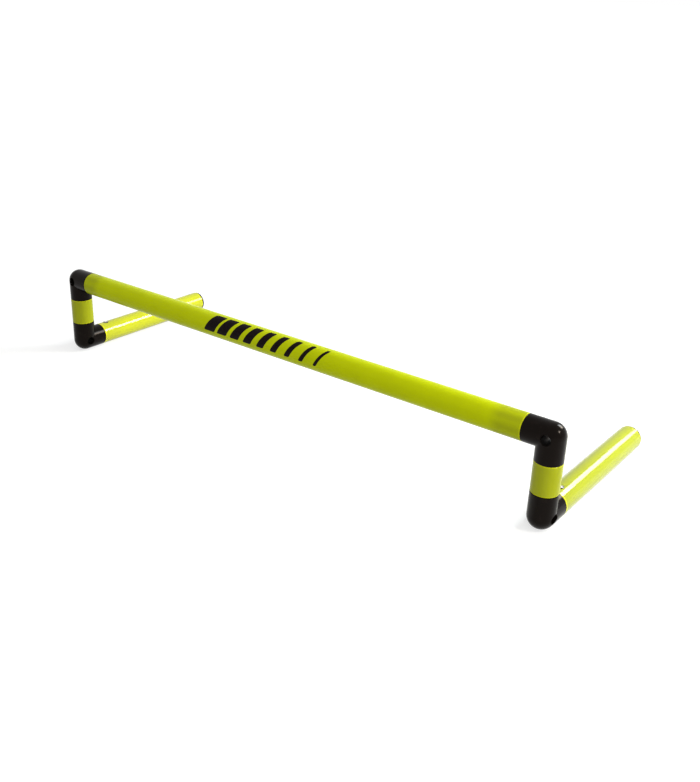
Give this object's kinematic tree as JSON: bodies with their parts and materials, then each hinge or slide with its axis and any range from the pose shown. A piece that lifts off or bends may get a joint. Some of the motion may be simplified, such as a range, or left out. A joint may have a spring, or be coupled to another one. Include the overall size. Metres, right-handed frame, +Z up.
{
  "type": "speed hurdle",
  "caption": "Low tube hurdle for speed drills: a straight crossbar held by black corner elbows on short posts, with round feet that run back and swivel in to store flat.",
  "frame": {"origin": "on the floor under the middle of the hurdle's outline, half-way between the crossbar's front and the far ends of the feet", "axes": "+X along the crossbar, towards the right leg; +Y back along the feet; +Z up"},
  "size_m": [0.8, 0.2572, 0.126],
  "materials": {
    "tube": "fluorescent yellow-green extruded plastic tube, satin to glossy",
    "elbow": "black moulded plastic, satin with a soft sheen",
    "plug": "black moulded plastic, satin",
    "screw": "bright zinc-plated steel"
  },
  "bodies": {
    "hurdle_frame": {"crossbar_tube": "tube", "top_elbow_left": "elbow", "top_elbow_right": "elbow", "post_tube_left": "tube", "post_tube_right": "tube"},
    "left_foot": {"bottom_elbow_left": "elbow", "foot_tube_left": "tube", "foot_screw_left": "screw", "foot_end_plug_left": "plug"},
    "right_foot": {"bottom_elbow_right": "elbow", "foot_tube_right": "tube", "foot_screw_right": "screw", "foot_end_plug_right": "plug"}
  },
  "joints": [
    {"name": "left_foot_swivel", "type": "hinge", "parent": "hurdle_frame", "child": "left_foot", "pos_m": [-0.38425, -0.11288, 0.04475], "axis": [0, 0, -1], "continuous": true},
    {"name": "right_foot_swivel", "type": "hinge", "parent": "hurdle_frame", "child": "right_foot", "pos_m": [0.38425, -0.11288, 0.04475], "axis": [0, 0, 1], "continuous": true}
  ]
}
